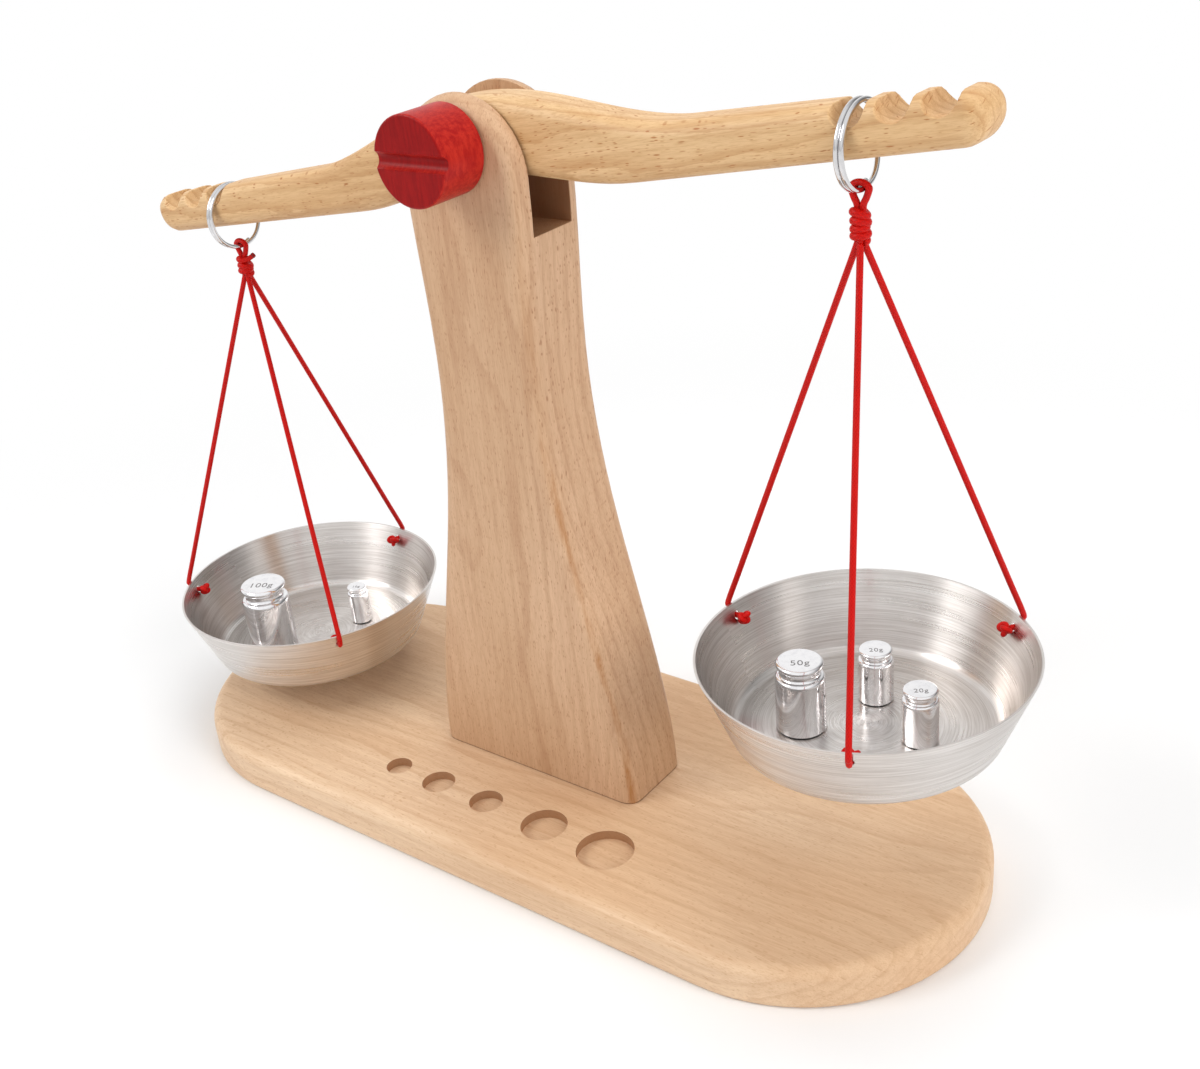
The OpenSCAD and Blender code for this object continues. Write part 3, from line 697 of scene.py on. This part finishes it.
def ring_path(side):
    """The wire's centre line from end to end, RING_STEP_W from the first turn to the second."""
    middle = hang_point(side, RING_MID_DROP)
    path = []
    for i in range(RING_STEPS + 1):
        run = 2 * (360 - RING_CROSS) * i / RING_STEPS
        step = ease((run - 360 + 2 * RING_CROSS) / (2 * RING_CROSS))
        a = math.radians(RING_CROSS_AT + RING_CROSS + run)
        aside = RING_STEP_W * (step - 0.5)
        path.append(middle + Vector((aside, RING_R * math.sin(a), RING_R * math.cos(a))))
    return path


for side, name in SIDES.items():
    ring = add_tube(f"{name}_split_ring", ring_path(side), WIRE_R, 20)
    dress(ring, RING_STEEL, f"{name}_ring", "ring_steel", f"{name}_ring")


# Cord loops over the rings, and the wound knots under them

LOOP_SPARE = 1 * MM
LEG_INSIDE = 1.5 * MM
KNOT_EXTRA_TURNS = 0.55
KNOT_TURN_STEPS = 32
KNOT_LOBES = 2
KNOT_WAIST_R = 1.55 * MM
KNOT_BULGE = 0.5 * MM
KNOT_SPREAD = 0.12 * MM
WINDING_R = 1.27 * CORD_R
TAIL_START_R = 2.2 * MM
TAIL_BACK = 1 * MM
TAIL_INSIDE = 1.6 * MM
TAIL_BEND = 0.14 * MM


def loop_path(side):
    """Up one leg, over both wires of the ring and down the other. Both legs run through the knot."""
    half_w = RING_WIRE / 2 + LOOP_SPARE + CORD_R + SEAT_GAP * 0.4
    rise = RING_WIRE / 2 + CORD_R + SEAT_GAP * 0.6
    eye = hang_point(side, EYE_DROP)
    leg = [
        (CORD_R * 0.85, -LEG_H - KNOT_L[side] + LEG_INSIDE),
        (CORD_R * 0.85, -LEG_H - LEG_INSIDE),
        (CORD_R * 1.05, -LEG_H * 0.88),
        (CORD_R * 1.9, -LEG_H * 0.5),
    ]
    over = [(half_w * math.cos(a), rise * math.sin(a)) for a in (math.pi * k / 8 for k in range(9))]
    back = [(-x, z) for x, z in reversed(leg)]
    return smooth_path([eye + Vector((x, 0, z)) for x, z in leg + over + back], 6)


def knot_path(side):
    """A winding in two lobes; its upper turns slant across the knot, and it ends tucked in."""
    bottom = hang_point(side, KNOT_BOTTOM_DROP[side])
    turns = KNOT_TURNS[side] + KNOT_EXTRA_TURNS
    path = []
    for i in range(int(turns * KNOT_TURN_STEPS) + 1):
        share = i / (turns * KNOT_TURN_STEPS)
        a = KNOT_END[side] - 360 * (turns - i / KNOT_TURN_STEPS)
        lobes = abs(math.sin(KNOT_LOBES * math.pi * share)) ** 0.7
        reach = KNOT_WAIST_R + KNOT_BULGE * lobes + KNOT_SPREAD * share
        slant = reach * (0.14 + 0.5 * ease(share * 2.2 - 0.9)) * math.cos(math.radians(a - KNOT_SLANT))
        rise = CORD_R + (KNOT_L[side] - CORD_D * 1.2) * share
        path.append(bottom + polar(reach, a, max(CORD_R * 0.9, rise + slant)))
    return path


def tail_path(side):
    """The short tail that comes out of the top of the knot, and bends up a little."""
    out = polar(1, KNOT_END[side] + 90)
    knot_side = hang_point(side, KNOT_TOP_DROP + CORD_R) + polar(TAIL_START_R, KNOT_END[side])
    start = knot_side - out * TAIL_BACK
    reach = TAIL_L[side] + TAIL_INSIDE
    points = [start + out * reach * k / 4 + Vector((0, 0, TAIL_BEND * k * k)) for k in range(5)]
    return smooth_path(points, 5)


for side, name in SIDES.items():
    loop = add_tube(f"{name}_loop", loop_path(side), CORD_R, 16)
    dress(loop, CORD, f"{name}_knot", "red_cord", f"{name}_cord_loop")
    knot = add_tube(f"{name}_knot_winding", knot_path(side), WINDING_R, 16)
    dress(knot, CORD, f"{name}_knot", "red_cord", f"{name}_cord_knot")
    if TAIL_L[side]:
        path = tail_path(side)
        dress(add_tube(f"{name}_tail", path, CORD_R * 0.95, 16), CORD, f"{name}_knot", "red_cord")
        cap = add_tube(f"{name}_tail_end", path[-3:], lambda share: CORD_R * (1.06 - 0.2 * share), 16)
        dress(cap, CORD_END, f"{name}_knot", "red_cord")


# Strings: from the knot straight to the rim, over it and in through the hole to a small knot

STRING_START_R = CORD_R * 1.18
STRING_SPANS = 12
STRING_INSIDE = 3.2 * MM
STRING_NECK = 1.2 * MM
STRING_END = 0.6 * MM
SMALL_KNOT_STEPS = 66
SMALL_KNOT_R = 0.92 * MM
SMALL_KNOT_IN = 2.3 * MM
SMALL_KNOT_DEPTH, SMALL_KNOT_W, SMALL_KNOT_H = 0.7 * MM, 0.82 * MM, 0.62 * MM


def string_points(side, degrees):
    """The string's centre line, from inside the knot's foot to the small knot."""
    top = HANG - KNOT_BOTTOM_DROP[side]
    out = PAN_D / 2 + CORD_R + SEAT_GAP
    route = [(CORD_R * 0.9, top + STRING_INSIDE), (CORD_R * 1.1, top + STRING_NECK)]
    for k in range(STRING_SPANS + 1):
        share = k / STRING_SPANS
        route.append((STRING_START_R + (out - STRING_START_R) * share, top - (top - SEAT_GAP) * share))
    route += [
        (out - CORD_R * 0.1, -HOLE_DROP * 0.35),
        (out - CORD_R * 0.55, -HOLE_DROP * 0.72),
        (out - CORD_R * 1.3, -HOLE_DROP * 0.94),
        (out - CORD_R * 2.1, -HOLE_DROP),
        (RIM_KNOT_FACE - STRING_END, -HOLE_DROP),
    ]
    axis = hang_point(side, HANG)
    return [axis + polar(r, degrees, z) for r, z in route]


def small_knot(name, side, degrees):
    """An overhand knot pulled tight against the inside of the rim."""
    middle = hang_point(side, HANG + HOLE_DROP)
    inward = polar(1, degrees)
    level = polar(1, degrees + 90)
    path = []
    for i in range(SMALL_KNOT_STEPS):
        t = 2 * math.pi * i / SMALL_KNOT_STEPS
        across = math.sin(t) + 2 * math.sin(2 * t)
        up = math.cos(t) - 2 * math.cos(2 * t)
        depth = -1.6 * math.sin(3 * t)
        place = inward * (RIM_KNOT_FACE - SMALL_KNOT_IN + SMALL_KNOT_DEPTH * depth)
        path.append(middle + place + level * (SMALL_KNOT_W * across) + Vector((0, 0, SMALL_KNOT_H * up)))
    return add_tube(name, path, SMALL_KNOT_R, 12, closed=True)


for side, name in SIDES.items():
    for i, letter in enumerate("abc"):
        degrees = PAN_SPIN[side] + 120 * i
        path = smooth_path(string_points(side, degrees), 5)
        string = add_tube(f"{name}_cord_{letter}", path, CORD_R, 12)
        dress(string, CORD, f"{name}_hanger", "red_cord", f"{name}_string_{letter}")
        knot = small_knot(f"{name}_small_knot_{letter}", side, degrees)
        if letter == "a":
            dress(knot, CORD, f"{name}_hanger", "red_cord", f"{name}_rim_knots")
        else:
            dress(knot, CORD, f"{name}_hanger", "red_cord")


# Weights, turned with a rounded cap, a neck and a shoulder, and marks on their caps

MARK_TURN = 32
MARK_SIZE_SHARE = 0.25
MARK_FRONT_SHARE = 0.1
MARK_T = 0.02


def weight_outline(d, h):
    """Half the outline of a weight, as (radius, height), from its foot's middle to its cap's middle."""
    r = d / 2
    foot, cap_t, neck_h, shoulder_h = 0.03 * d, 0.14 * d, 0.17 * d, 0.1 * d
    neck_r, shoulder_r, cap_r = 0.75 * r, 0.87 * r, 0.945 * r - cap_t / 2
    neck_z = h - cap_t - neck_h
    turns = [math.radians(15 * k) for k in range(13)]
    shoulder = [
        (shoulder_r + (r - shoulder_r) * math.cos(a), neck_z - shoulder_h * (1 - math.sin(a)))
        for a in turns[:7]
    ]
    neck = []
    for a in turns[1:]:
        edge = shoulder_r if math.cos(a) > 0 else cap_r
        neck.append((edge - (edge - neck_r) * math.sin(a), neck_z + neck_h * (1 - math.cos(a)) / 2))
    cap = [(cap_r + cap_t / 2 * math.sin(a), h - cap_t / 2 * (1 + math.cos(a))) for a in turns[1:]]
    return [(0, 0), (r - foot, 0), (r, foot), *shoulder, *neck, *cap, (0, h)]


def mark(name, text, d, h, foot):
    """The plain number and unit on a weight's cap. d, h and the mark's sizes are in millimetres."""
    font = bpy.data.curves.new(f"{name}_mark", "FONT")
    font.body = text
    font.size = d * MARK_SIZE_SHARE * MM
    font.space_character = 1.1
    font.align_x = "CENTER"
    font.align_y = "CENTER"
    font.extrude = MARK_T * MM
    made = bpy.data.objects.new(f"{name}_mark", font)
    made.location = foot + polar(-d * MARK_FRONT_SHARE * MM, MARK_TURN + 90, (h + MARK_T) * MM)
    made.rotation_euler = (0, 0, math.radians(MARK_TURN))
    bpy.context.scene.collection.objects.link(made)
    return dress(made, INK, name, "weight_chrome")


for name, (text, d, h, side, (across, back)) in WEIGHTS.items():
    floor_middle = hang_point(side, HANG + PAN_H - PAN_WALL - SEAT_GAP)
    foot = floor_middle + Vector((across, back, 0)) * (PAN_BASE_D / 2)
    turned = add_turned(f"{name}_turned", weight_outline(d * MM, h * MM), foot)
    dress(turned, CHROME, name, "weight_chrome", name)
    mark(name, text, d, h, foot)


# Floor, room and lamps

FLOOR_REACH = 6
FLOOR_DROP = 0.05 * MM
FADE_START, FADE_END = 0.22, 0.62

# How bright the room is in rough surfaces and in the dark side of metal, then how a bright side fades in
# as metal turns to it, and each bright side's direction and level
AMBIENT = 0.45
STUDIO_DARK = 0.22
STUDIO_EDGE = (0.1, 0.75)
STUDIO_SIDES = (((0.2, -0.55, 0.8), 1.0), ((-0.9, 0.35, 0.25), 1.0))

LAMP_AIM = Vector((0, 0, 0.14))


def make_floor():
    """A pale floor that takes the object's shadow near it, and runs out to white further off."""
    corners = [(x * FLOOR_REACH, y * FLOOR_REACH, 0) for x, y in ((-1, -1), (1, -1), (1, 1), (-1, 1))]
    floor = add_mesh("floor", corners, [(0, 1, 2, 3)])
    floor.location.z = -FLOOR_DROP
    look = Look("floor", Roughness=0.9, Specular_IOR_Level=0.1)
    point = look.spot(scale=1)
    look.colour(look.mix(look.noise(point, 3.0), (0.9, 0.9, 0.9, 1), (0.93, 0.93, 0.93, 1)))
    look.bump(look.noise(point, 400.0), 0.02 * MM, 0.2)
    rays = look.tree.nodes.new("ShaderNodeLightPath").outputs
    mirrored = look.math("MAXIMUM", rays["Is Glossy Ray"], rays["Is Transmission Ray"])
    seen = look.math("MAXIMUM", rays["Is Camera Ray"], mirrored)
    x, y, _ = look.parts(point)
    away = look.between(look.distance(x, y), FADE_START, FADE_END)
    white = look.node("Emission", 0, Color=(1, 1, 1, 1), Strength=1.0)
    blend = look.tree.nodes.new("ShaderNodeMixShader")
    look.join(look.math("MULTIPLY", away, seen), blend.inputs[0])
    look.tree.links.new(look.shader.outputs[0], blend.inputs[1])
    look.tree.links.new(white, blend.inputs[2])
    look.tree.links.new(blend.outputs[0], look.tree.nodes["Material Output"].inputs["Surface"])
    floor.data.materials.append(look.material)


def make_world():
    """White to the camera; in reflections bright in front, above and on the left, and dark on the right."""
    world = bpy.data.worlds.new("studio")
    world.use_nodes = True
    bpy.context.scene.world = world
    tree = world.node_tree

    def span(value, to_low, to_high, **others):
        """Maps a value from one span to another."""
        made = tree.nodes.new("ShaderNodeMapRange")
        for key, given in {"Value": value, "To_Min": to_low, "To_Max": to_high, **others}.items():
            socket = made.inputs[key.replace("_", " ")]
            if isinstance(given, bpy.types.NodeSocket):
                tree.links.new(given, socket)
            else:
                socket.default_value = given
        return made.outputs[0]

    rays = tree.nodes.new("ShaderNodeLightPath").outputs
    aim = tree.nodes.new("ShaderNodeTexCoord").outputs["Generated"]
    studio = tree.nodes.new("ShaderNodeMath")
    studio.operation = "MAXIMUM"
    for (side, level), socket in zip(STUDIO_SIDES, studio.inputs):
        toward = tree.nodes.new("ShaderNodeVectorMath")
        toward.operation = "DOT_PRODUCT"
        tree.links.new(aim, toward.inputs[0])
        toward.inputs[1].default_value = side
        low, high = STUDIO_EDGE
        seen = span(toward.outputs["Value"], STUDIO_DARK, level, From_Min=low, From_Max=high)
        tree.links.new(seen, socket)
    glossy = span(rays["Is Glossy Ray"], AMBIENT, studio.outputs[0])
    clear = span(rays["Is Transmission Ray"], glossy, 1.0)
    strength = span(rays["Is Camera Ray"], clear, 1.0)
    background = tree.nodes["Background"]
    background.inputs["Color"].default_value = (1, 1, 1, 1)
    tree.links.new(strength, background.inputs["Strength"])


def make_lamp(name, place, size, power, mirrored=True):
    """A soft lamp aimed at the object. Where it isn't mirrored, metal doesn't show it."""
    data = bpy.data.lights.new(name, "AREA")
    data.shape = "RECTANGLE"
    data.size, data.size_y = size
    data.energy = power
    lamp = bpy.data.objects.new(name, data)
    lamp.location = place
    lamp.rotation_euler = (LAMP_AIM - Vector(place)).to_track_quat("-Z", "Y").to_euler()
    lamp.visible_glossy = mirrored
    bpy.context.scene.collection.objects.link(lamp)


make_floor()
make_world()
make_lamp("key", (-0.8, -0.9, 1.1), (0.7, 0.7), 10)
make_lamp("fill", (1.3, -0.25, 0.8), (1.0, 1.0), 11, mirrored=False)
make_lamp("top", (0.1, 0.4, 1.5), (1.2, 0.8), 9, mirrored=False)

scene = bpy.context.scene
scene.view_settings.view_transform = "Standard"
